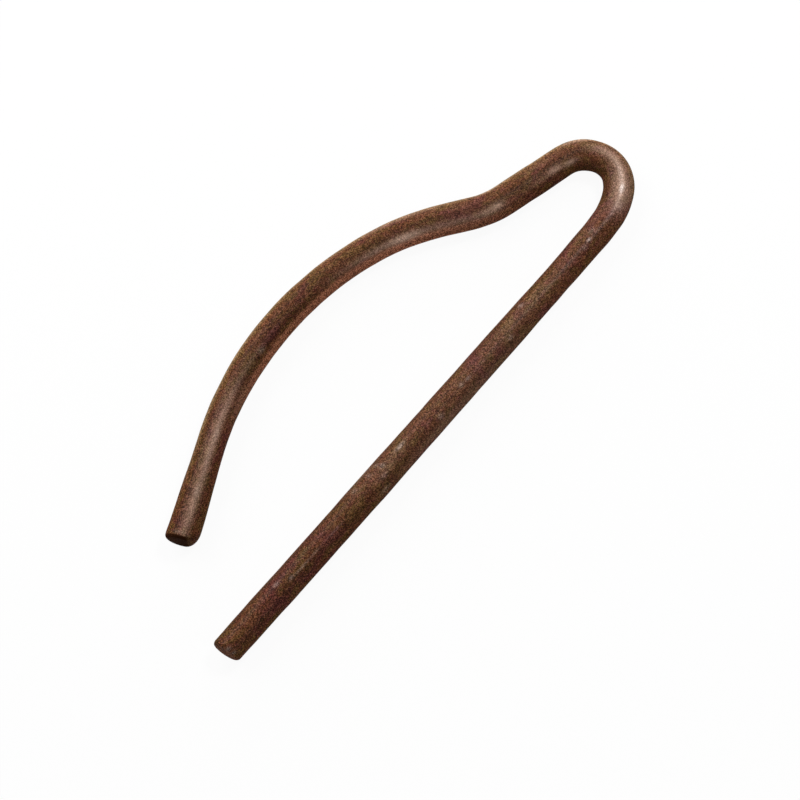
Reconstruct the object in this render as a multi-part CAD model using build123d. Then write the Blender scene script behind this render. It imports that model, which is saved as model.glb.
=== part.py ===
from build123d import *
import os

# Hair-pin cotter: one length of round spring wire, cold bent in one plane and sheared at both ends.
# The origin is on the straight leg's axis, where the leg runs into the U-bend.
# +X runs along the leg to its free tip, the bow is on the -Y side, and the wire's axis is in the XY plane.
# Every bend radius is to the wire's axis. The bends are in their order along the wire, from tip to tail.

# wire
WIRE_DIAMETER = 3.2

# straight leg, which goes through the cross hole of a shaft; measured to the tip's longer side
LEG_LENGTH = 60.0

# U-bend: a wide lead-in, then the tight crown
LEAD_IN_RADIUS = 14.6
LEAD_IN_ANGLE = 22.5
CROWN_RADIUS = 3.7
CROWN_ANGLE = 143.0

# neck, and the waist that turns the wire outwards over the shaft
NECK_LENGTH = 8.0
WAIST_RADIUS = 10.5
WAIST_ANGLE = 21.0
SHOULDER_LENGTH = 3.3

# bow that grips the outside of the shaft: a rounder shoulder, then the long arch
SHOULDER_RADIUS = 28.0
SHOULDER_ANGLE = 18.5
ARCH_RADIUS = 38.1
ARCH_ANGLE = 42.0

# straight tail that guides the pin on to the shaft
TAIL_LENGTH = 10.8

# sheared ends
TIP_SHEAR_ANGLE = 7.0
RIM_RADIUS = 0.4
TAIL_ROLL_RADIUS = 1.3

WIRE_RADIUS = WIRE_DIAMETER / 2


def bend(run, radius, angle):
    """Arc that carries on smoothly from a run's end; a positive angle turns left, looking down on XY."""
    return JernArc(run @ 1, run % 1, radius, angle)


def straight(run, length):
    """Straight run that carries on smoothly from another run's end."""
    return PolarLine(run @ 1, length, direction=run % 1)


def wire_axis():
    """Runs of the wire's centre line, from the leg's tip to the end of the tail."""
    leg = Line((LEG_LENGTH, 0), (0, 0))
    lead_in = bend(leg, LEAD_IN_RADIUS, LEAD_IN_ANGLE)
    crown = bend(lead_in, CROWN_RADIUS, CROWN_ANGLE)
    neck = straight(crown, NECK_LENGTH)
    waist = bend(neck, WAIST_RADIUS, -WAIST_ANGLE)
    shoulder = straight(waist, SHOULDER_LENGTH)
    shoulder_bend = bend(shoulder, SHOULDER_RADIUS, SHOULDER_ANGLE)
    arch = bend(shoulder_bend, ARCH_RADIUS, ARCH_ANGLE)
    tail = straight(arch, TAIL_LENGTH)
    return [leg, lead_in, crown, neck, waist, shoulder, shoulder_bend, arch, tail]


def bent_wire(runs):
    """Round wire carried along its centre line, with both ends square and sharp."""
    section = Plane(origin=runs[0] @ 0, z_dir=runs[0] % 0) * Circle(WIRE_RADIUS)
    return sweep(section, path=Wire(runs))


def end_plane(point, outwards):
    """Plane of the bends at a wire end: local X points out of the wire, local Y to the left of it."""
    return Plane(origin=point, x_dir=outwards, z_dir=(0, 0, 1))


def tip_waste(end):
    """Block past the slanting shear at the leg's tip, which leaves the side away from the bow shorter."""
    size = 3 * WIRE_DIAMETER
    block = Box(size, size, size, align=(Align.MIN, Align.CENTER, Align.CENTER))
    return end * Pos(0, -WIRE_RADIUS, 0) * Rot(0, 0, TIP_SHEAR_ANGLE) * block


def tail_waste(end):
    """Corner past the quarter circle that the shear blade rolls over, on the tail's side facing the leg."""
    square = Rectangle(WIRE_DIAMETER, WIRE_DIAMETER, align=(Align.MIN, Align.MIN))
    corner = Pos(-TAIL_ROLL_RADIUS, WIRE_RADIUS - TAIL_ROLL_RADIUS) * (square - Circle(TAIL_ROLL_RADIUS))
    return extrude(end * corner, WIRE_DIAMETER, both=True)


def soften_rim(pin, end):
    """Round the rim of the end face that lies nearest to a wire end."""
    face = pin.faces().sort_by_distance(end.origin)[0]
    return fillet(face.edges(), RIM_RADIUS)


def cotter_pin():
    """The whole pin: bent wire, slanted and rounded tip, rounded and rolled tail."""
    runs = wire_axis()
    tip_end = end_plane(runs[0] @ 0, -(runs[0] % 0))
    tail_end = end_plane(runs[-1] @ 1, runs[-1] % 1)
    pin = bent_wire(runs) - tip_waste(tip_end)
    pin = soften_rim(pin, tip_end)
    pin = soften_rim(pin, tail_end)
    return pin - tail_waste(tail_end)


os.makedirs("parts", exist_ok=True)
export_step(cotter_pin(), "parts/cotter_pin.step")
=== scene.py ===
"""Hair-pin cotter: one length of brown-oxide spring wire, bent in one plane and sheared at both ends.

The file is laid out as an add-on: property groups hold the sizes, finish and stage that a user would
change, one operator makes the wire, one makes the stage, and a panel in the 3D view's sidebar lists them.
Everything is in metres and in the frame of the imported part: the origin is on the straight leg's axis where
the leg runs into the U-bend, +X runs along the leg to its tip, the bow is on the -Y side and +Z is up.
"""

import math

import bpy
import numpy as np
from bpy.props import FloatProperty, FloatVectorProperty, IntProperty, PointerProperty
from mathutils import Matrix, Vector


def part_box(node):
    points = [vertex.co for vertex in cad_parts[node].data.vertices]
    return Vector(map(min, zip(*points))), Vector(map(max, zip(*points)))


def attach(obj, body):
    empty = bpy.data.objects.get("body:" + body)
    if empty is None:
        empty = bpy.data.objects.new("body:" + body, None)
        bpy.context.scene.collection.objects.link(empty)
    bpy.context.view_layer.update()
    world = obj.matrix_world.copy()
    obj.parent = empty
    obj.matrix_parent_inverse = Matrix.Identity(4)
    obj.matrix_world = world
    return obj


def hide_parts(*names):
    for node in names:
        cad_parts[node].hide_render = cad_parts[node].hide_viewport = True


bl_info = {
    "name": "Hair-pin cotter",
    "version": (1, 0, 0),
    "blender": (4, 5, 0),
    "location": "3D View > Sidebar > Cotter pin",
    "description": "Makes a hair-pin cotter in brown-oxide spring wire, with a plain studio stage",
    "category": "Mesh",
}

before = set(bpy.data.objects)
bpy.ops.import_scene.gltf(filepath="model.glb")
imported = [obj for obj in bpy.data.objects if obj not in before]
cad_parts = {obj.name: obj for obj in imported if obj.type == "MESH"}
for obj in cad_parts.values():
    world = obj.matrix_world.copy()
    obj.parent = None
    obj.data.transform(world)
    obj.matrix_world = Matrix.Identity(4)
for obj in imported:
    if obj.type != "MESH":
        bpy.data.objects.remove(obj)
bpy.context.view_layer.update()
LOWEST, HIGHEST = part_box("cotter_pin")
WIRE_DIAMETER = HIGHEST.z - LOWEST.z

MM = 0.001


# ---------------------------------------------------------------- sizes, finish and stage


def length_property(name, description, default, low=0.0):
    """A length in metres, shown in the scene's own unit."""
    return FloatProperty(
        name=name, description=description, default=default, min=low, precision=5, unit="LENGTH"
    )


def angle_property(name, description, degrees):
    """An angle, kept in radians and shown in degrees."""
    return FloatProperty(name=name, description=description, default=math.radians(degrees), subtype="ANGLE")


def share_property(name, description, default):
    """A plain number from 0 to 1."""
    return FloatProperty(name=name, description=description, default=default, min=0.0, max=1.0, precision=3)


def colour_property(name, description, default):
    """A linear colour."""
    return FloatVectorProperty(
        name=name, description=description, default=default, min=0.0, max=1.0, subtype="COLOR"
    )


def brightness_property(name, description, default):
    """Brightness of a lamp's face or of the sky."""
    return FloatProperty(name=name, description=description, default=default, min=0.0, precision=3)


class PinSizes(bpy.types.PropertyGroup):
    """Driving sizes of the bent wire; every bend radius is to the wire's axis."""

    wire_diameter: length_property("Wire diameter", "Diameter of the round wire", WIRE_DIAMETER)
    leg_length: length_property("Leg length", "Straight leg, up to its tip's longer side", 60.0 * MM)
    lead_in_radius: length_property("Lead-in radius", "Wide first bend of the U", 14.6 * MM)
    lead_in_angle: angle_property("Lead-in angle", "Turn of the wide first bend", 22.5)
    crown_radius: length_property("Crown radius", "Tight bend of the U", 3.7 * MM)
    crown_angle: angle_property("Crown angle", "Turn of the tight bend", 143.0)
    neck_length: length_property("Neck length", "Straight run after the crown", 8.0 * MM)
    waist_radius: length_property("Waist radius", "Reverse bend over the shaft's edge", 10.5 * MM)
    waist_angle: angle_property("Waist angle", "Turn of the reverse bend", 21.0)
    shoulder_length: length_property("Shoulder length", "Straight run after the waist", 3.3 * MM)
    shoulder_radius: length_property("Shoulder radius", "Rounder start of the bow", 28.0 * MM)
    shoulder_angle: angle_property("Shoulder angle", "Turn of the bow's rounder start", 18.5)
    arch_radius: length_property("Arch radius", "Long arch of the bow", 38.1 * MM)
    arch_angle: angle_property("Arch angle", "Turn of the long arch", 42.0)
    tail_length: length_property("Tail length", "Straight tail that guides the pin on to a shaft", 10.8 * MM)
    tip_shear: angle_property("Tip shear", "Slant of the leg's sheared end", 7.0)
    rim_radius: length_property("Rim radius", "Rounding of both sheared rims", 0.4 * MM)
    tail_roll: length_property("Tail roll", "Radius rolled over on the tail's inner side", 1.3 * MM)
    bend_ease: length_property("Bend ease", "Length in which a bend eases into the next", 2.0 * MM, 0.1 * MM)
    rows: IntProperty(name="Rows", description="Mesh rings along the wire", default=660, min=60)
    columns: IntProperty(name="Columns", description="Mesh points round the wire", default=120, min=24)


class PinFinish(bpy.types.PropertyGroup):
    """Colours and texture of the oxide skin, and of its painted highlights, reflection, rim light and shade.
    """

    brown: colour_property("Brown", "Main tone of the oxide", (0.112, 0.0334, 0.0094))
    ochre: colour_property("Ochre", "Yellower patches", (0.107, 0.0472, 0.0086))
    plum: colour_property("Plum", "Redder and darker patches", (0.104, 0.0190, 0.0164))
    # Colour of the rub marks, and of the painted highlight on the crown.
    scuff_and_glint: colour_property("Scuff", "Bright marks where the skin is rubbed through", (0.86, 0.66, 0.56))
    # Dark metal and painted shade of the tail's end face.
    shear: colour_property("Shear", "Dark broken metal of the tail's end face", (0.030, 0.0085, 0.0022))
    # Painted reflection on the bow's inner flank, and painted light on the tip's face.
    reflection: colour_property("Burnish", "Redder skin where the bow rubs on the shaft", (0.390, 0.146, 0.077))
    # Painted yellow rim light along the outer edges of the bends.
    rim_light: colour_property("Bloom", "Yellower skin on the outside of the bends", (0.285, 0.178, 0.082))
    # Painted highlights and sheen.
    polish: colour_property("Polish", "Paler skin where handling has polished it", (0.560, 0.360, 0.265))
    dust: colour_property("Dust", "Pale specks between the grains", (0.35, 0.26, 0.22))
    roughness: share_property("Roughness", "Roughness of the skin under its gloss", 0.70)
    gloss: share_property("Gloss", "Strength of the skin's gloss", 0.21)
    gloss_roughness: share_property("Gloss roughness", "Roughness of the skin's gloss", 0.34)
    grain_size: length_property("Grain size", "Width of the finest specks", 0.14 * MM, 0.01 * MM)
    grain_depth: length_property("Grain depth", "Height of the fine grain", 0.006 * MM)


class PinStage(bpy.types.PropertyGroup):
    """Camera, lamps and floor."""

    azimuth: angle_property("Azimuth", "Turn of the camera round the pin", 129.76)
    elevation: angle_property("Elevation", "Height of the camera above the floor", 68.5)
    distance: length_property("Distance", "Camera to the point that it aims at", 280.0 * MM)
    aim: FloatVectorProperty(
        name="Aim",
        description="Point that the camera aims at",
        default=(27.6 * MM, -4.0 * MM, 0.0),
        precision=5,
        subtype="XYZ",
        unit="LENGTH",
    )
    lens: FloatProperty(name="Lens", description="Focal length in millimetres", default=120.9, min=1.0)
    key: brightness_property("Key", "Brightness of the lamp up and to the right, where 1 is white", 21.0)
    back: brightness_property("Back", "Brightness of the low lamp behind the pin, where 1 is white", 7.2)
    fill: brightness_property("Fill", "Brightness of the broad lamp on the left, where 1 is white", 3.2)
    strip: brightness_property("Strip", "Brightness of the strip at the lower right, where 1 is white", 6.5)
    sky: brightness_property("Sky", "Strength of the even light from all round", 0.09)
    floor: colour_property("Floor", "Colour of the floor", (0.62, 0.62, 0.62))


# ---------------------------------------------------------------- shape of the wire


def smooth(x):
    """Smooth step: 0 up to x = 0, 1 from x = 1, and 3x^2 - 2x^3 between them."""
    x = np.clip(x, 0.0, 1.0)
    return x * x * (3.0 - 2.0 * x)


def banded(value, band):
    """Smooth rise and fall: 0 up to the band's first number, 1 between its middle two, 0 from its last."""
    start, full, fading, gone = band
    return smooth((value - start) / (full - start)) * (1.0 - smooth((value - fading) / (gone - fading)))


def running_integral(values, station):
    """Trapezium sum of values over the stations, starting from 0."""
    strips = 0.5 * (values[1:] + values[:-1]) * np.diff(station)
    return np.concatenate([[0.0], np.cumsum(strips)])


def bend_table(sizes):
    """Lengths and signed curvatures of the runs, from tip to tail; a left turn is positive."""
    runs = (
        (sizes.leg_length, 0.0),
        (sizes.lead_in_radius * sizes.lead_in_angle, 1.0 / sizes.lead_in_radius),
        (sizes.crown_radius * sizes.crown_angle, 1.0 / sizes.crown_radius),
        (sizes.neck_length, 0.0),
        (sizes.waist_radius * sizes.waist_angle, -1.0 / sizes.waist_radius),
        (sizes.shoulder_length, 0.0),
        (sizes.shoulder_radius * sizes.shoulder_angle, 1.0 / sizes.shoulder_radius),
        (sizes.arch_radius * sizes.arch_angle, 1.0 / sizes.arch_radius),
        (sizes.tail_length, 0.0),
    )
    return np.array(runs).T


# Points of the wire's axis from which every other place on it is interpolated.
LINE_POINTS = 8001


def centre_line(sizes):
    """Station, heading, x and y along the wire's axis, as dense arrays.

    Curvature is the sum of the steps from run to run, each eased with a smooth step. Heading is the running
    integral of curvature, and position is the running integral of (cosine, sine) of the heading.
    """
    lengths, curvatures = bend_table(sizes)
    joins = np.cumsum(lengths)
    station = np.linspace(0.0, joins[-1], LINE_POINTS)
    steps = np.diff(curvatures)
    eased = smooth((station[:, None] - joins[None, :-1]) / sizes.bend_ease + 0.5)
    curvature = curvatures[0] + eased @ steps
    heading = math.pi + running_integral(curvature, station)
    x = sizes.leg_length + running_integral(np.cos(heading), station)
    y = running_integral(np.sin(heading), station)
    return station, heading, x, y


# Where forming has drawn the wire thinner or pressed it wider in the plane of the bends. Stations are in
# millimetres from the tip: where the change starts, is full, starts to fade and is gone; then its share. The
# broad changes come first, then the short ones.
SWELLS = (
    (-4.0, -2.0, 0.0, 9.0, -0.022),
    (4.0, 14.0, 28.0, 44.0, 0.020),
    (42.0, 50.0, 53.0, 60.0, -0.034),
    (56.0, 66.0, 106.0, 124.0, 0.062),
    (74.0, 82.0, 90.0, 98.0, 0.044),
    (98.0, 102.0, 106.0, 112.0, -0.020),
    (108.0, 113.0, 116.0, 122.0, 0.024),
    (122.0, 127.0, 128.0, 132.0, -0.026),
    (127.5, 134.5, 140.0, 150.0, 0.066),
    (1.0, 4.0, 8.0, 11.0, 0.018),
    (15.0, 18.0, 24.0, 27.0, 0.010),
    (38.0, 40.0, 52.0, 54.0, 0.010),
    (55.5, 58.5, 61.5, 63.5, -0.012),
    (67.0, 69.0, 70.0, 71.5, -0.016),
    (71.0, 72.5, 79.0, 81.0, 0.026),
    (85.5, 87.0, 88.5, 90.5, 0.026),
    (91.0, 93.0, 97.0, 99.0, -0.012),
    (106.5, 108.0, 109.5, 111.5, 0.020),
    (122.5, 124.0, 131.0, 133.0, -0.010),
    (133.5, 135.5, 140.0, 150.0, 0.020),
)

# Where the wire strays from its drawn line in the plane of the bends: the same four stations, then the
# distance to the left of the line in millimetres.
STRAYS = (
    (-4.0, -3.0, 3.0, 13.0, 0.058),
    (54.5, 59.5, 61.0, 63.2, 0.075),
    (61.8, 63.4, 64.0, 65.6, -0.050),
    (64.8, 66.4, 66.9, 68.4, 0.045),
    (67.6, 69.3, 70.0, 72.0, -0.070),
)


def half_width(station):
    """Half width in the plane of the bends, as a share: 1 plus each swell's smooth rise and fall."""
    return 1.0 + sum(swell * banded(station / MM, band) for *band, swell in SWELLS)


def half_height(wide):
    """Half height, as a share: 1 over the square root of the half width's share, and never above 1."""
    return np.minimum(1.0, wide**-0.5)


def stray(station):
    """Distance to the left of the drawn line: the sum of each stretch's smooth rise and fall."""
    return MM * sum(distance * banded(station / MM, band) for *band, distance in STRAYS)


# ---------------------------------------------------------------- sheared ends

# Length behind each end in which the shape of its face fades out of the rings.
END_FADE = 6.0 * MM

# Roll of the tip's left side, as a share of the rim's radius: hardly any.
TIP_ROLL = 0.5

# Rings that close an end: round its rim, and then across its face.
RIM_ROWS = 9
FACE_ROWS = 11


def end_inset(across, radial, sizes, slant, roll):
    """Depth of an end face behind the wire's longest point.

    It is the sum of a plane that slants across the wire, a quarter circle of radius `roll` on the left
    side, and a quarter circle of the rim's radius all round the edge. `across` is the distance to the left
    of the axis and `radial` the distance from it.
    """
    radius, rim = 0.5 * sizes.wire_diameter, sizes.rim_radius
    plane = slant * (radius - across)
    into_roll = np.clip(across - (radius - roll), 0.0, roll)
    into_rim = np.clip(radial - (radius - rim), 0.0, rim)
    rolled = roll - np.sqrt(np.maximum(roll**2 - into_roll**2, 0.0))
    rimmed = rim - np.sqrt(np.maximum(rim**2 - into_rim**2, 0.0))
    return plane + rolled + rimmed


def tip_inset(across, radial, sizes):
    """Depth of the tip's face: it slants, and its left side is hardly rolled."""
    return end_inset(across, radial, sizes, math.tan(sizes.tip_shear), TIP_ROLL * sizes.rim_radius)


def tail_inset(across, radial, sizes):
    """Depth of the tail's face: it is square, and its left side is well rolled."""
    return end_inset(across, radial, sizes, 0.0, sizes.tail_roll)


def cap_shares(sizes):
    """Distances from the axis, as shares of the radius, of the rings that close an end.

    They step evenly in angle round the rim's quarter circle, and then evenly over the face as far as its
    middle, which is one point and not a ring.
    """
    turn = np.linspace(0.0, 0.5 * math.pi, RIM_ROWS + 1)[1:]
    rim = 1.0 - sizes.rim_radius / (0.5 * sizes.wire_diameter) * (1.0 - np.cos(turn))
    face = rim[-1] * np.linspace(1.0, 0.0, FACE_ROWS + 1)[1:-1]
    return np.concatenate([rim, face])


# ---------------------------------------------------------------- relief of the skin

# Waves that keep the skin from being a perfect tube: length along the wire in millimetres, number round the
# wire, phase, and height in millimetres.
WAVES = (
    (11.3, 2, 0.4, 0.009),
    (7.1, 1, 2.1, 0.006),
    (4.7, 3, 4.4, 0.005),
    (2.9, 2, 1.2, 0.003),
    (23.0, 0, 0.9, 0.006),
)

# Chips on the rims, and one burr of negative depth: station in millimetres from the tip, degrees from
# straight up towards the left, then reach and depth in millimetres.
CHIPS = ((0.15, -28.0, 0.34, 0.08), (137.6, 24.0, 0.35, 0.05), (137.1, -75.0, 0.70, -0.045))

# Small dents from handling: seed, number, and their range of reaches and depths in millimetres.
DENT_SEED = 17
DENT_COUNT = 46
DENT_REACH = (0.35, 1.1)
DENT_DEPTH = (0.006, 0.020)

# The whole skin lies this far inside the drawn wire, so that little of its waves stands out of it.
SKIN_INSET = 0.012 * MM


def turn_at(degrees):
    """Angle round the wire, in radians from the left, of a place so many degrees left of straight up."""
    return 0.5 * math.pi - np.radians(degrees)


def degrees_left(turn):
    """Degrees from straight up towards the left of an angle round the wire."""
    return np.degrees(np.angle(np.exp(1j * (0.5 * math.pi - turn))))


def spot(station, turn, at, facing, length, width):
    """Gaussian spot on the skin: exp(-a^2 - b^2).

    a is the distance along the wire from the spot's middle, in half lengths, and b the distance round the
    wire from it, in half widths.
    """
    along = (station - at) / length
    around = np.angle(np.exp(1j * (turn - facing))) * 0.5 * WIRE_DIAMETER / width
    return np.exp(-(along**2) - around**2)


def skin_relief(station, turn, total):
    """Outward height of the skin: sine waves along and round the wire, less round Gaussian dents."""
    height = np.zeros_like(station) - SKIN_INSET
    for wave, count, phase, size in WAVES:
        height = height + size * MM * np.sin(2.0 * math.pi * station / (wave * MM) + count * turn + phase)
    dice = np.random.default_rng(DENT_SEED)
    dent_at = dice.uniform(0.0, total, DENT_COUNT)
    dent_facing = dice.uniform(0.0, 2.0 * math.pi, DENT_COUNT)
    dent_reach = dice.uniform(*DENT_REACH, DENT_COUNT) * MM
    dent_depth = dice.uniform(*DENT_DEPTH, DENT_COUNT) * MM
    for at, facing, reach, depth in zip(dent_at, dent_facing, dent_reach, dent_depth):
        height = height - depth * spot(station, turn, at, facing, reach, reach)
    for at, degrees, reach, depth in CHIPS:
        chip = spot(station, turn, at * MM, turn_at(degrees), reach * MM, reach * MM)
        height = height - depth * MM * chip
    return height


# ---------------------------------------------------------------- wear of the skin, and its painted light and shade

# Rub marks, and one painted highlight, the spot on the crown at 65.9 mm: station from the tip, degrees
# from straight up towards the left, half length and half width, with the lengths in millimetres; then
# the strength of each.
SCUFFS_AND_GLINT = (
    (0.10, -6.0, 0.16, 0.40, 0.18),
    (0.30, -14.0, 0.26, 0.20, 0.34),
    (0.45, -40.0, 0.22, 0.16, 0.22),
    (8.6, 14.0, 0.32, 0.20, 0.13),
    (10.1, -10.0, 0.28, 0.20, 0.18),
    (11.6, -14.0, 1.60, 0.12, 0.09),
    (13.7, -14.0, 0.70, 0.12, 0.08),
    (16.8, -15.0, 1.20, 0.10, 0.07),
    (21.3, 32.0, 0.35, 0.24, 0.11),
    (23.5, 30.0, 0.28, 0.25, 0.12),
    (23.7, -58.0, 0.60, 0.26, 0.08),
    (24.5, -16.0, 0.50, 0.24, 0.09),
    (24.9, 34.0, 0.28, 0.20, 0.15),
    (25.2, 14.0, 0.28, 0.26, 0.18),
    (28.0, 12.0, 0.58, 0.20, 0.26),
    (33.3, -28.0, 0.40, 0.27, 0.13),
    (37.3, -6.0, 0.30, 0.28, 0.11),
    (38.3, -10.0, 0.30, 0.18, 0.17),
    (44.8, -28.0, 0.34, 0.26, 0.11),
    (48.3, 28.0, 0.30, 0.24, 0.19),
    (57.8, -18.0, 0.28, 0.20, 0.09),
    (58.8, -6.0, 0.20, 0.16, 0.44),
    (59.8, 8.0, 0.45, 0.22, 0.12),
    (63.9, -26.0, 0.55, 0.24, 0.12),
    # Painted highlight: the bright hot spot on the crown.
    (65.9, -11.0, 0.42, 0.20, 1.30),
    (67.6, -2.0, 1.30, 0.22, 0.12),
    (115.5, 24.0, 0.40, 0.26, 0.09),
    (126.1, 20.0, 0.60, 0.28, 0.07),
    (132.7, 8.0, 0.60, 0.26, 0.12),
    (137.3, -8.0, 0.13, 0.62, 0.08),
)

# Painted highlights and sheen, as paler stretches of skin, in the same form; the last number is their share.
PAINTED_HIGHLIGHTS = (
    (23.6, 55.0, 1.8, 0.30, 0.16),
    (25.5, -6.0, 2.4, 0.50, 0.09),
    (28.0, 49.0, 36.0, 0.38, 0.055),
    (31.0, -64.0, 5.0, 0.60, 0.04),
    (34.0, 20.0, 13.0, 0.60, 0.035),
    (37.0, -66.0, 10.0, 0.80, 0.15),
    (46.0, -20.0, 13.0, 0.55, 0.045),
    (49.0, 9.0, 8.0, 0.50, 0.07),
    (61.0, 34.0, 4.0, 0.50, 0.05),
    (64.6, -30.0, 1.8, 0.90, 0.21),
    (66.4, -11.0, 2.6, 0.20, 0.42),
    (66.4, -8.0, 2.5, 0.74, 0.62),
    (66.6, -58.0, 2.4, 0.50, 0.12),
    (70.2, -10.0, 2.0, 0.60, 0.37),
    (73.6, -44.0, 1.1, 0.32, 0.40),
    (74.9, 36.0, 0.8, 0.28, 0.48),
    (76.9, 26.0, 0.8, 0.30, 0.46),
    (77.5, -20.0, 3.0, 0.50, 0.06),
    (77.8, 30.0, 3.0, 0.28, 0.16),
    (84.3, 24.0, 0.7, 0.30, 0.52),
    (84.6, -56.0, 2.4, 0.22, 0.30),
    (85.4, 30.0, 1.2, 0.40, 0.28),
    (87.0, 30.0, 2.6, 0.40, 0.09),
    (88.0, -14.0, 4.0, 0.45, 0.045),
    (91.0, 40.0, 4.6, 0.46, 0.26),
    (94.5, -44.0, 5.0, 0.34, 0.22),
    (94.9, 41.5, 1.7, 0.42, 0.78),
    (98.5, 37.0, 3.4, 0.42, 0.30),
    (103.5, 32.0, 2.0, 0.35, 0.07),
    (121.5, 60.0, 2.5, 0.60, 0.10),
    (127.0, 13.0, 7.4, 0.48, 0.47),
    (135.2, 5.5, 3.0, 0.39, 0.30),
)

# Painted reflection of warm light on the bow's inner flank: bands along the wire, as the station in
# millimetres where each starts, is full, starts to fade and is gone, and its share; then one band round the
# left side, in degrees from straight up.
PAINTED_REFLECTION = (
    (79.0, 90.0, 113.5, 127.0, 0.85),
    (84.0, 86.0, 88.0, 91.0, -0.12),
    (91.0, 94.0, 98.0, 102.0, 0.15),
    (104.0, 109.0, 113.0, 118.0, -0.20),
)
PAINTED_REFLECTION_SIDE = (42.0, 58.0, 110.0, 140.0)

# Lines along the wire of painted shade, and of painted yellow rim light on the outside of the bends: the
# band along the wire in millimetres, then the line's angle and half width in degrees, and its share.
PAINTED_SHADE = (
    ((-4.0, -2.0, 12.0, 20.0), 50.0, 9.0, 0.20),
    ((-4.0, -2.0, 58.0, 66.0), 51.0, 13.0, 0.66),
    ((-2.0, 2.0, 26.0, 36.0), -37.0, 13.0, 0.58),
    ((4.0, 8.0, 14.0, 22.0), 18.0, 8.0, 0.22),
    ((6.0, 8.0, 13.0, 18.0), -14.0, 14.0, 0.20),
    ((28.0, 38.0, 45.0, 52.0), -44.0, 14.0, 0.50),
    ((53.0, 56.0, 60.0, 63.0), -5.0, 9.0, 0.16),
    ((62.0, 65.0, 70.0, 74.0), 52.0, 18.0, 0.34),
    ((71.0, 74.0, 83.0, 90.0), 6.0, 11.0, 0.62),
    ((72.0, 75.0, 79.0, 84.0), 48.0, 8.0, 0.40),
    ((77.0, 80.0, 91.0, 95.0), -34.0, 9.0, 0.16),
    ((84.0, 90.0, 100.0, 112.0), 9.0, 11.0, 0.42),
    ((94.0, 97.0, 101.0, 104.0), 49.0, 9.0, 0.22),
    ((100.0, 107.0, 109.0, 116.0), 38.0, 9.0, 0.34),
    ((105.0, 113.0, 118.0, 125.0), 31.0, 10.0, 0.70),
    ((107.0, 112.0, 119.0, 123.0), 10.0, 22.0, 0.46),
    ((120.0, 126.0, 140.0, 150.0), -22.0, 10.0, 0.28),
    ((127.0, 132.0, 140.0, 150.0), 42.0, 22.0, 0.43),
)
PAINTED_RIM_LIGHT = (((65.0, 72.5, 122.0, 137.0), -64.0, 19.0, 0.80),)

# Shares of dark broken metal and of painted light on the tip's face, which is nearly as brown as the skin;
# the painted light lightens a face that the lamps leave dark.
TIP_SHEARED = 0.10
TIP_PAINTED_LIGHT = 0.30

# The tail's face is dark metal with painted shade, much less so on its rolled inner side and a little less
# on its outer side: distances to the left of the axis in millimetres where each change starts and is full,
# then its share.
TAIL_PALER = ((0.45, 0.95, 0.85), (0.20, -1.20, 0.20))

# Width of the tail's edge in which skin turns to dark metal with painted shade, as a share of the
# rim's radius.
TAIL_EDGE = 0.1


def marks(station, turn, table):
    """Each mark of a table: its strength or share times its Gaussian spot."""
    return [
        strength * spot(station, turn, at * MM, turn_at(degrees), length * MM, width * MM)
        for at, degrees, length, width, strength in table
    ]


def lines(station, turn, table):
    """Each line of a table: its share times its band along the wire times a Gaussian across it."""
    angle = degrees_left(turn)
    return [
        share * banded(station / MM, band) * np.exp(-(((angle - at) / width) ** 2))
        for band, at, width, share in table
    ]


def rubbed_and_glint(station, turn):
    """Strength of the rub marks and of the painted highlight on the crown: the largest of their spots."""
    return np.maximum.reduce(marks(station, turn, SCUFFS_AND_GLINT))


def painted_highlights(station, turn):
    """Share of painted highlight and sheen: the sum of its stretches, up to 1."""
    return np.minimum(sum(marks(station, turn, PAINTED_HIGHLIGHTS)), 1.0)


def painted_reflection(station, turn):
    """Share of painted reflection: the sum of its bands along the wire, times its band round the left side.
    """
    along = sum(share * banded(station / MM, band) for *band, share in PAINTED_REFLECTION)
    return along * banded(degrees_left(turn), PAINTED_REFLECTION_SIDE)


def painted_shade(station, turn):
    """Share of painted shade: the sum of its lines, up to 1."""
    return np.minimum(sum(lines(station, turn, PAINTED_SHADE)), 1.0)


def painted_rim_light(station, turn):
    """Share of painted yellow rim light: one wide line along the right side."""
    return sum(lines(station, turn, PAINTED_RIM_LIGHT))


def broken_and_shaded(across, inside, rim):
    """Share of dark metal and painted shade on the tail's face: 1 less its paler sides, times a smooth rise
    at its edge.
    """
    paler = sum(share * smooth((across / MM - start) / (full - start)) for start, full, share in TAIL_PALER)
    return (1.0 - paler) * smooth(inside / (TAIL_EDGE * rim))


def skin_wear_and_painted_light(station, turn, sizes):
    """What the finish reads on each point of the skin, its marks and its painted light and shade, ring by
    ring and then on the two end points.

    The formula of each share is in its own function. The rub marks and the painted highlight fade over the
    rims with the fourth power of a ring's share of the radius, and the tip's shares rise smoothly over its
    rim.
    """
    radius, rim = 0.5 * sizes.wire_diameter, sizes.rim_radius
    shares = cap_shares(sizes)[:, None]
    caps, inside = len(shares), (1.0 - shares) * radius
    worn_and_glint = rubbed_and_glint(station, turn)
    worn_and_glint[:caps] *= shares[::-1] ** 4
    worn_and_glint[-caps:] *= shares**4
    sheared = np.zeros_like(station)
    sheared[:caps] = TIP_SHEARED * smooth(inside / rim)[::-1]
    # The tail's face: dark metal with painted shade.
    sheared[-caps:] = broken_and_shaded(shares * radius * np.cos(turn), inside, rim)
    reflection = painted_reflection(station, turn)
    reflection[:caps] = TIP_PAINTED_LIGHT * smooth(inside / rim)[::-1]
    plain = [0.0, 0.0]
    return {
        "worn_and_glint": np.append(worn_and_glint, plain),
        "sheared": np.append(sheared, [TIP_SHEARED, 1.0]),
        "painted_reflection": np.append(reflection, [TIP_PAINTED_LIGHT, 0.0]),
        "painted_shade": np.append(painted_shade(station, turn), plain),
        "painted_rim_light": np.append(painted_rim_light(station, turn), plain),
        "painted_highlights": np.append(painted_highlights(station, turn), plain),
    }


# ---------------------------------------------------------------- mesh of the wire


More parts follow.
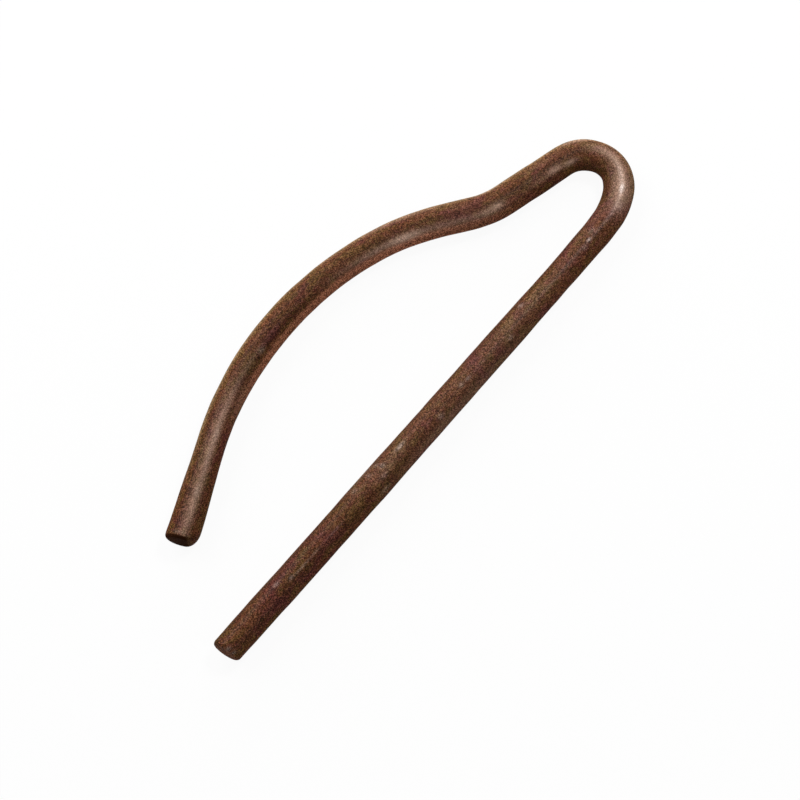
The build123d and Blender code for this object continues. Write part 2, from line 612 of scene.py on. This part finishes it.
def skin_rings(sizes, total):
    """Station, share of the radius and angle round the wire of the skin's rings, from tip to tail.

    A ring of the body at u along the wire has the station u + f near the tip and u - f near the tail, where
    f is the depth of the end face, faded out smoothly behind it. A ring of an end lies on the end's face.
    """
    radius = 0.5 * sizes.wire_diameter
    turn = np.linspace(0.0, 2.0 * math.pi, sizes.columns, endpoint=False)[None, :]
    left = radius * np.cos(turn)
    shares = cap_shares(sizes)[:, None]
    body = np.linspace(0.0, total, sizes.rows)[:, None]
    from_tip = tip_inset(left, radius, sizes) * (1.0 - smooth(body / END_FADE))
    from_tail = tail_inset(left, radius, sizes) * (1.0 - smooth((total - body) / END_FADE))
    tip_cap = tip_inset(shares * left, shares * radius, sizes)[::-1]
    tail_cap = total - tail_inset(shares * left, shares * radius, sizes)
    station = np.concatenate([tip_cap, body + from_tip - from_tail, tail_cap])
    share = np.concatenate([shares[::-1], np.ones_like(body), shares])
    return station, share, turn


def bent(straight, axis):
    """Points (s, a, z) of the straightened wire on the bent one: C(s) + a * left(s) + z * up."""
    axis_station, axis_heading, axis_x, axis_y = axis
    station, across, above = straight.T
    heading = np.interp(station, axis_station, axis_heading)
    x = np.interp(station, axis_station, axis_x) - across * np.sin(heading)
    y = np.interp(station, axis_station, axis_y) + across * np.cos(heading)
    return np.stack([x, y, above], -1)


def wire_surface(sizes):
    """Points of the wire's skin, closed at both ends; the same points straightened; their wear, painted
    light and shade, and grid.

    The skin is a function of two parameters: the ring, with station s and share q of the radius, and the
    angle t round it. The point is C(s) + (q w cos t + d) * left(s) + q h sin t * up, where C is the centre
    line, w and h are the half width and half height with the relief added, and d is how far the wire strays.
    """
    axis = centre_line(sizes)
    total = axis[0][-1]
    radius = 0.5 * sizes.wire_diameter
    station, share, turn = skin_rings(sizes, total)
    wide = half_width(station)
    relief = skin_relief(station, turn, total)
    across = share * (radius * wide + relief) * np.cos(turn) + stray(station)
    above = share * (radius * half_height(wide) + relief) * np.sin(turn)
    straight = np.stack([station, across, above], -1).reshape(-1, 3)

    ends = np.array([tip_inset(0.0, 0.0, sizes), total - tail_inset(0.0, 0.0, sizes)])
    straight = np.concatenate([straight, np.stack([ends, stray(ends), 0.0 * ends], -1)])
    return bent(straight, axis), straight, skin_wear_and_painted_light(station, turn, sizes), station.shape


def skin_faces(rows, columns):
    """Quads between neighbouring rings, and triangles to the two end points, all facing outwards."""
    row = np.arange(rows - 1)[:, None]
    column = np.arange(columns)[None, :]
    beside = (column + 1) % columns
    here, there = row * columns, (row + 1) * columns
    quads = np.stack([here + column, here + beside, there + beside, there + column], -1).reshape(-1, 4)
    near, far = np.arange(columns), (rows - 1) * columns + np.arange(columns)
    tip, tail = rows * columns, rows * columns + 1
    first = np.stack([np.full(columns, tip), np.roll(near, -1), near], -1)
    last = np.stack([np.full(columns, tail), far, np.roll(far, -1)], -1)
    return quads, first, last


def skin_map(rows, columns):
    """UV of every face corner: u is the ring's share of all the rings, v the share of the turn round it."""
    row = np.arange(rows - 1)[:, None] + 0.0 * np.arange(columns)[None, :]
    column = np.arange(columns)[None, :] + 0.0 * row
    u0, u1 = row / (rows - 1), (row + 1) / (rows - 1)
    v0, v1 = column / columns, (column + 1) / columns
    quads = np.stack([u0, v0, u0, v1, u1, v1, u1, v0], -1).reshape(-1, 2)
    v = np.arange(columns) / columns
    edge = 1.0 / columns
    first = np.stack([0 * v, v + 0.5 * edge, 0 * v, v + edge, 0 * v, v], -1).reshape(-1, 2)
    last = np.stack([0 * v + 1, v + 0.5 * edge, 0 * v + 1, v, 0 * v + 1, v + edge], -1).reshape(-1, 2)
    return np.concatenate([quads, first, last])


def wire_mesh(name, sizes):
    """Mesh object of the wire, with its straightened coordinates, wear, and painted light and shade as
    attributes.
    """
    points, straight, wear_and_painted_light, (rows, columns) = wire_surface(sizes)
    quads, first, last = skin_faces(rows, columns)
    mesh = bpy.data.meshes.new(name)
    mesh.from_pydata(points.tolist(), [], quads.tolist() + first.tolist() + last.tolist())
    unbent = mesh.attributes.new("unbent", "FLOAT_VECTOR", "POINT")
    unbent.data.foreach_set("vector", straight.astype(np.float32).ravel())
    for field, values in wear_and_painted_light.items():
        carried = mesh.attributes.new(field, "FLOAT", "POINT")
        carried.data.foreach_set("value", values.astype(np.float32))
    along_wire = mesh.uv_layers.new(name="along_wire")
    along_wire.data.foreach_set("uv", skin_map(rows, columns).astype(np.float32).ravel())
    mesh.polygons.foreach_set("use_smooth", np.ones(len(mesh.polygons), bool))
    mesh.update()
    if mesh.validate():
        raise ValueError(f"{name}: the mesh had faces that Blender could not use")
    piece = bpy.data.objects.new(name, mesh)
    bpy.context.scene.collection.objects.link(piece)
    return piece


# ---------------------------------------------------------------- node expressions


class Value:
    """A value socket; each Python operator on it adds one Math node."""

    def __init__(self, shader, socket):
        self.shader = shader
        self.socket = socket

    def math(self, operation, *terms):
        """The value of a Math node with that operation on these terms."""
        node = self.shader.node("ShaderNodeMath", {"operation": operation}, dict(enumerate(terms)))
        return Value(self.shader, node.outputs["Value"])

    def __add__(self, other):
        return self.math("ADD", self, other)

    def __radd__(self, other):
        return self.math("ADD", other, self)

    def __sub__(self, other):
        return self.math("SUBTRACT", self, other)

    def __rsub__(self, other):
        return self.math("SUBTRACT", other, self)

    def __mul__(self, other):
        return self.math("MULTIPLY", self, other)

    def __rmul__(self, other):
        return self.math("MULTIPLY", other, self)

    def __pow__(self, other):
        return self.math("POWER", self, other)


class Shader:
    """Node tree of one material or world."""

    def __init__(self, tree):
        self.tree = tree
        tree.nodes.clear()

    def node(self, kind, settings=None, sockets=None):
        """One node: its settings are set first, then the values or links of its sockets."""
        node = self.tree.nodes.new(kind)
        for name, value in (settings or {}).items():
            setattr(node, name, value)
        for name, value in (sockets or {}).items():
            socket = node.inputs[name] if isinstance(name, int) else self.live(node.inputs, name)
            self.feed(socket, value)
        return node

    @staticmethod
    def live(sockets, name):
        """The socket of that name that the node's settings leave in use."""
        return next(socket for socket in sockets if socket.name == name and socket.enabled)

    def feed(self, socket, value):
        """Links a socket, or sets its value."""
        if isinstance(value, Value):
            value = value.socket
        if isinstance(value, bpy.types.NodeSocket):
            self.tree.links.new(value, socket)
        elif socket.type == "RGBA":
            socket.default_value = (*value[:3], 1.0)
        else:
            socket.default_value = value

    def value(self, kind, output, settings=None, sockets=None):
        """A node's output as a value that takes operators."""
        node = self.node(kind, settings, sockets)
        return Value(self, self.live(node.outputs, output))

    def field(self, name):
        """A value that the mesh carries."""
        return self.value("ShaderNodeAttribute", "Fac", {"attribute_name": name})

    def place(self, name):
        """A vector that the mesh carries."""
        return self.node("ShaderNodeAttribute", {"attribute_name": name}).outputs["Vector"]

    def lengthwise(self, vector, share):
        """A vector with its part along the wire scaled by a share, which draws patterns out lengthwise."""
        terms = {0: vector, 1: (share, 1.0, 1.0)}
        return self.node("ShaderNodeVectorMath", {"operation": "MULTIPLY"}, terms).outputs["Vector"]

    def dimmed(self, colour, share):
        """A colour with all its parts multiplied by one value."""
        node = self.node("ShaderNodeVectorMath", {"operation": "SCALE"}, {0: colour, "Scale": share})
        return node.outputs["Vector"]

    def noise(self, vector, scale, detail, roughness, distortion=0.0):
        """Noise from 0 to 1, with the middle at 0.5; the scale is the number of its features in a metre."""
        sockets = {
            "Vector": vector,
            "Scale": scale,
            "Detail": detail,
            "Roughness": roughness,
            "Distortion": distortion,
        }
        return self.value("ShaderNodeTexNoise", "Fac", None, sockets)

    def ramp(self, value, low, high):
        """Smooth step of a value from 0 at low to 1 at high."""
        sockets = {"Value": value, "From Min": low, "From Max": high}
        return self.value("ShaderNodeMapRange", "Result", {"interpolation_type": "SMOOTHSTEP"}, sockets)

    def mixed(self, factor, first, second):
        """A colour that goes from the first to the second as the factor goes from 0 to 1."""
        settings = {"data_type": "RGBA", "blend_type": "MIX", "clamp_factor": True}
        node = self.node("ShaderNodeMix", settings, {"Factor": factor, "A": first, "B": second})
        return self.live(node.outputs, "Result")


# ---------------------------------------------------------------- finish

# Scales of the mottling: how many patches, blotches, motes and freckles go into a metre.
PATCH_SCALE = 900.0
BLOTCH_SCALE = 420.0
MOTE_SCALE = 1900.0
FRECKLE_SCALE = 2600.0

# The painted highlights even out the grain's light and dark, along a smooth ramp of their share. The ramp
# starts below 0, so its value with no highlight is taken off, and what is left is multiplied by the last
# number.
EVEN_START = -0.3
EVEN_FULL = 0.5
EVEN_SHARE = 0.70

# Index of refraction of the skin and of its gloss, and the little that the skin reflects under the gloss.
SKIN_IOR = 1.5
SKIN_SPECULAR = 0.03


def oxide_material(finish):
    """Satin brown oxide on spring steel: mottled tones, sandy grain, draw lines, rubbed spots, a dark end,
    and painted highlights, reflection, rim light and shade.

    The gloss is a thin coat that shows where the skin faces the eye and fades on the flanks, as on dusty
    oxide.
    """
    material = bpy.data.materials.new("brown_oxide_wire")
    material.use_nodes = True
    shader = Shader(material.node_tree)
    unbent = shader.place("unbent")
    worn_and_glint, sheared, polish = (shader.field(name) for name in ("worn_and_glint", "sheared", "painted_highlights"))
    reflection, shade_mask, rim_light = (shader.field(name) for name in ("painted_reflection", "painted_shade", "painted_rim_light"))

    # Fine patterns: grain, sand, flecks of one value to a cell, and lines left by drawing the wire.
    per_grain = 1.0 / finish.grain_size
    grain = shader.noise(unbent, per_grain, 2.0, 0.7)
    sand = shader.noise(unbent, 0.42 * per_grain, 2.0, 0.6)
    cell_sockets = {"Vector": unbent, "Scale": 1.8 * per_grain}
    cells = shader.node("ShaderNodeTexVoronoi", {"feature": "F1"}, cell_sockets)
    flecks = shader.value("ShaderNodeSeparateColor", "Red", None, {"Color": cells.outputs["Color"]})
    bright_flecks = flecks**2.0
    drawn = shader.noise(shader.lengthwise(unbent, 0.06), 0.35 * per_grain, 3.0, 0.6)

    # Mottling, from the widest patterns to the finest.
    blotches = shader.noise(shader.lengthwise(unbent, 0.5), BLOTCH_SCALE, 4.0, 0.6, 0.6)
    patches = shader.noise(shader.lengthwise(unbent, 0.45), PATCH_SCALE, 3.0, 0.6, 0.4)
    motes = shader.noise(unbent, MOTE_SCALE, 2.0, 0.6)
    freckles = shader.noise(unbent, FRECKLE_SCALE, 2.0, 0.6)

    # Tone of the oxide, then the painted reflection, painted rim light and painted highlights, then the
    # dust.
    tone = shader.mixed(shader.ramp(patches, 0.44, 0.62), finish.brown, finish.ochre)
    tone = shader.mixed(shader.ramp(motes, 0.52, 0.70) * 0.6, tone, finish.ochre)
    tone = shader.mixed(shader.ramp(blotches, 0.50, 0.68) * 0.8, tone, finish.plum)
    tone = shader.mixed(shader.ramp(freckles, 0.52, 0.70) * 0.55, tone, finish.plum)
    tone = shader.mixed(reflection, tone, finish.reflection)
    # Painted yellow rim light on the outer edges of the bends.
    tone = shader.mixed(rim_light, tone, finish.rim_light)
    tone = shader.mixed(polish, tone, finish.polish)
    dusty = shader.ramp(grain, 0.46, 0.86) * 0.10 + shader.ramp(flecks, 0.50, 1.0) * 0.05
    tone = shader.mixed(dusty, tone, finish.dust)

    # Light and dark of the grain, evened out under the painted highlights and darkened by the painted shade.
    shade = grain * 0.10 + sand * 0.10 + drawn * 0.22 + bright_flecks * 2.20 + 0.055
    unpolished = float(smooth(-EVEN_START / (EVEN_FULL - EVEN_START)))
    evened = (shader.ramp(polish, EVEN_START, EVEN_FULL) - unpolished) * EVEN_SHARE
    shade = shade + (1.0 - shade) * evened
    tone = shader.dimmed(tone, shade * (1.0 - shade_mask * 0.5))

    # Bare metal: bright where the flecks are rubbed through, and a painted highlight on the crown; dark
    # where the end is broken, with painted shade on the tail's face.
    rubbing_and_glint = worn_and_glint * (bright_flecks * 2.2 + 0.3)
    tone = shader.mixed(rubbing_and_glint, tone, finish.scuff_and_glint)
    tone = shader.mixed(sheared, tone, finish.shear)

    # Gloss, which fades on the flanks, under the painted shade and on broken metal; then roughness and fine
    # relief.
    facing = shader.value("ShaderNodeLayerWeight", "Facing", None, {"Blend": 0.5})
    face_on = 1.0 - shader.ramp(facing, 0.10, 0.38)
    gloss = finish.gloss * (grain * 0.7 + bright_flecks * 1.2 + patches * 0.4)
    gloss = (gloss * (1.0 - shade_mask * 0.7) + rubbing_and_glint) * face_on * (1.0 - sheared)
    roughness = finish.roughness + (grain - 0.5) * 0.3 + (patches - 0.5) * 0.2 + sheared * 0.2
    height = grain * 0.4 + drawn * 0.45 + freckles * 0.6 + sheared * blotches * 2.0
    bumpy = {"Strength": 1.0, "Distance": finish.grain_depth, "Height": height}
    bump = shader.node("ShaderNodeBump", None, bumpy)
    skin = {
        "Base Color": tone,
        "Roughness": roughness,
        "Metallic": 0.0,
        "IOR": SKIN_IOR,
        "Specular IOR Level": SKIN_SPECULAR,
        "Normal": bump.outputs["Normal"],
        "Coat Weight": gloss,
        "Coat Roughness": finish.gloss_roughness,
        "Coat IOR": SKIN_IOR,
    }
    surface = shader.node("ShaderNodeBsdfPrincipled", None, skin)
    shader.node("ShaderNodeOutputMaterial", None, {"Surface": surface.outputs["BSDF"]})
    return material


WHITE = (1.0, 1.0, 1.0)

# Share of plain white in the floor as it is seen; the rest is its own matt white, which takes the shadow.
WHITE_SHARE = 0.94


def floor_material(stage):
    """Matt pale floor, which shows as nearly plain white with a faint shadow.

    Rays from the camera, from gloss and through glass see that white; others see the floor's own colour.
    """
    material = bpy.data.materials.new("pale_floor")
    material.use_nodes = True
    shader = Shader(material.node_tree)
    path = shader.node("ShaderNodeLightPath")
    rays = ("Is Camera Ray", "Is Glossy Ray", "Is Transmission Ray")
    camera, glossy, through = (Value(shader, path.outputs[name]) for name in rays)
    seen = camera.math("MAXIMUM", camera.math("MAXIMUM", camera, glossy), through)
    tone = shader.mixed(seen, tuple(stage.floor), WHITE)
    matt = shader.node("ShaderNodeBsdfDiffuse", None, {"Color": tone})
    plain = shader.node("ShaderNodeEmission", None, {"Color": WHITE, "Strength": 1.0})
    layers = {0: seen * WHITE_SHARE, 1: matt.outputs["BSDF"], 2: plain.outputs["Emission"]}
    mixed = shader.node("ShaderNodeMixShader", None, layers)
    shader.node("ShaderNodeOutputMaterial", None, {"Surface": mixed.outputs["Shader"]})
    return material


# ---------------------------------------------------------------- stage

# Soft lamps: name, bearing and elevation of one end and of the other in degrees, then distance and width in
# metres. Each takes its brightness from the stage's value of the same name.
LAMPS = (
    ("key", (60.0, 56.0), (34.0, 56.0), 0.30, 0.07),
    ("back", (64.0, 10.0), (128.0, 10.0), 0.30, 0.09),
    ("fill", (112.0, 38.0), (176.0, 38.0), 0.34, 0.22),
    ("strip", (-52.0, 62.0), (-42.0, 30.0), 0.40, 0.04),
)

# Round floor, in metres: its inner rings, its flat radius, the radius of its curve and the height of its
# wall; then the rows of mesh over the curve and the columns round the floor.
FLOOR_RINGS = (0.12, 0.5)
FLOOR_FLAT = 1.10
FLOOR_CURVE = 0.10
FLOOR_WALL = 0.10
CURVE_ROWS = 13
FLOOR_COLUMNS = 96


def view_direction(azimuth, elevation):
    """Unit vector from the pin towards a place at that azimuth and elevation.

    It is (cos e sin a, -cos e cos a, sin e) for azimuth a and elevation e.
    """
    flat = math.cos(elevation)
    return Vector((math.sin(azimuth) * flat, -math.cos(azimuth) * flat, math.sin(elevation)))


def add_camera(stage):
    """Camera at its distance along the viewing direction, aimed at its point, with no roll or shift."""
    data = bpy.data.cameras.new("camera")
    data.lens = stage.lens
    data.sensor_width = 36.0
    data.clip_start = 0.01
    camera = bpy.data.objects.new("camera", data)
    away = view_direction(stage.azimuth, stage.elevation)
    camera.location = Vector(stage.aim) + away * stage.distance
    camera.rotation_euler = away.to_track_quat("Z", "Y").to_euler()
    bpy.context.scene.collection.objects.link(camera)
    bpy.context.scene.camera = camera


def seen_direction(stage, bearing, elevation):
    """Unit vector towards a place; its bearing is from the view's right, anticlockwise, in degrees."""
    return view_direction(stage.azimuth + math.radians(bearing + 90.0), math.radians(elevation))


def add_lamp(name, stage, start, end, distance, width, brightness):
    """Soft rectangular lamp that faces the camera's aim, from one bearing and elevation to another."""
    first, last = seen_direction(stage, *start), seen_direction(stage, *end)
    away = (first + last).normalized()
    along = (last - first).normalized()
    data = bpy.data.lights.new(name, "AREA")
    data.shape = "RECTANGLE"
    data.size = (last - first).length * distance
    data.size_y = width
    data.energy = brightness * math.pi * data.size * data.size_y
    lamp = bpy.data.objects.new(name, data)
    lamp.location = Vector(stage.aim) + away * distance
    lamp.rotation_euler = Matrix((along, away.cross(along), away)).transposed().to_euler()
    bpy.context.scene.collection.objects.link(lamp)


def add_floor(stage):
    """Round floor under the pin that curves up to a low wall.

    Its profile (r, z) is flat, then a quarter circle, then straight up; a point is (r cos t, r sin t, z).
    """
    turn = np.linspace(0.0, 0.5 * math.pi, CURVE_ROWS)
    curve_radius = FLOOR_FLAT + FLOOR_CURVE * np.sin(turn)
    curve_height = FLOOR_CURVE * (1.0 - np.cos(turn))
    flat_height = np.zeros(len(FLOOR_RINGS))
    radius = np.concatenate([FLOOR_RINGS, curve_radius, curve_radius[-1:]])[:, None]
    height = np.concatenate([flat_height, curve_height, curve_height[-1:] + FLOOR_WALL])[:, None]
    angle = np.linspace(0.0, 2.0 * math.pi, FLOOR_COLUMNS, endpoint=False)
    x, y = radius * np.cos(angle), radius * np.sin(angle)
    points = np.stack([x, y, LOWEST.z + height + 0.0 * x], -1).reshape(-1, 3)
    quads, fan, _ = skin_faces(len(radius), FLOOR_COLUMNS)
    mesh = bpy.data.meshes.new("floor")
    middle = (0.0, 0.0, LOWEST.z)
    mesh.from_pydata([*points.tolist(), middle], [], [*quads[:, ::-1].tolist(), *fan[:, ::-1].tolist()])
    mesh.materials.append(floor_material(stage))
    floor = bpy.data.objects.new("floor", mesh)
    bpy.context.scene.collection.objects.link(floor)


def set_world(stage):
    """Even light from all round."""
    world = bpy.data.worlds.new("studio")
    bpy.context.scene.world = world
    world.use_nodes = True
    shader = Shader(world.node_tree)
    background = shader.node("ShaderNodeBackground", None, {"Color": WHITE, "Strength": stage.sky})
    shader.node("ShaderNodeOutputWorld", None, {"Surface": background.outputs["Background"]})


# ---------------------------------------------------------------- operators and panel


class COTTER_OT_spring_wire(bpy.types.Operator):
    """Make the bent spring wire in place of the plain solid"""

    bl_idname = "cotter.spring_wire"
    bl_label = "Make spring wire"

    def execute(self, context):
        piece = wire_mesh("spring_wire", context.scene.pin_sizes)
        piece.data.materials.append(oxide_material(context.scene.pin_finish))
        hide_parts("cotter_pin")
        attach(piece, "root")
        return {"FINISHED"}


class COTTER_OT_stage(bpy.types.Operator):
    """Make the floor, the lamps, the even light and the camera"""

    bl_idname = "cotter.stage"
    bl_label = "Make stage"

    def execute(self, context):
        stage = context.scene.pin_stage
        add_camera(stage)
        add_floor(stage)
        set_world(stage)
        for name, start, end, distance, width in LAMPS:
            add_lamp(f"{name}_lamp", stage, start, end, distance, width, getattr(stage, name))
        context.scene.view_settings.view_transform = "Standard"
        return {"FINISHED"}


class COTTER_PT_panel(bpy.types.Panel):
    """Sizes, finish and stage of the cotter pin"""

    bl_idname = "COTTER_PT_panel"
    bl_label = "Hair-pin cotter"
    bl_space_type = "VIEW_3D"
    bl_region_type = "UI"
    bl_category = "Cotter pin"

    def draw(self, context):
        groups = (
            ("Sizes", context.scene.pin_sizes),
            ("Finish", context.scene.pin_finish),
            ("Stage", context.scene.pin_stage),
        )
        for title, group in groups:
            box = self.layout.box()
            box.label(text=title)
            for name in group.__annotations__:
                box.prop(group, name)
        self.layout.operator(COTTER_OT_spring_wire.bl_idname)
        self.layout.operator(COTTER_OT_stage.bl_idname)


CLASSES = (PinSizes, PinFinish, PinStage, COTTER_OT_spring_wire, COTTER_OT_stage, COTTER_PT_panel)


def register():
    """Registers the classes and hangs the property groups on the scene."""
    for item in CLASSES:
        bpy.utils.register_class(item)
    bpy.types.Scene.pin_sizes = PointerProperty(type=PinSizes)
    bpy.types.Scene.pin_finish = PointerProperty(type=PinFinish)
    bpy.types.Scene.pin_stage = PointerProperty(type=PinStage)


def unregister():
    """Takes the property groups and classes away again."""
    del bpy.types.Scene.pin_stage
    del bpy.types.Scene.pin_finish
    del bpy.types.Scene.pin_sizes
    for item in reversed(CLASSES):
        bpy.utils.unregister_class(item)


def main():
    """Makes the pin and its stage."""
    register()
    bpy.ops.cotter.spring_wire()
    bpy.ops.cotter.stage()


if __name__ == "__main__":
    main()
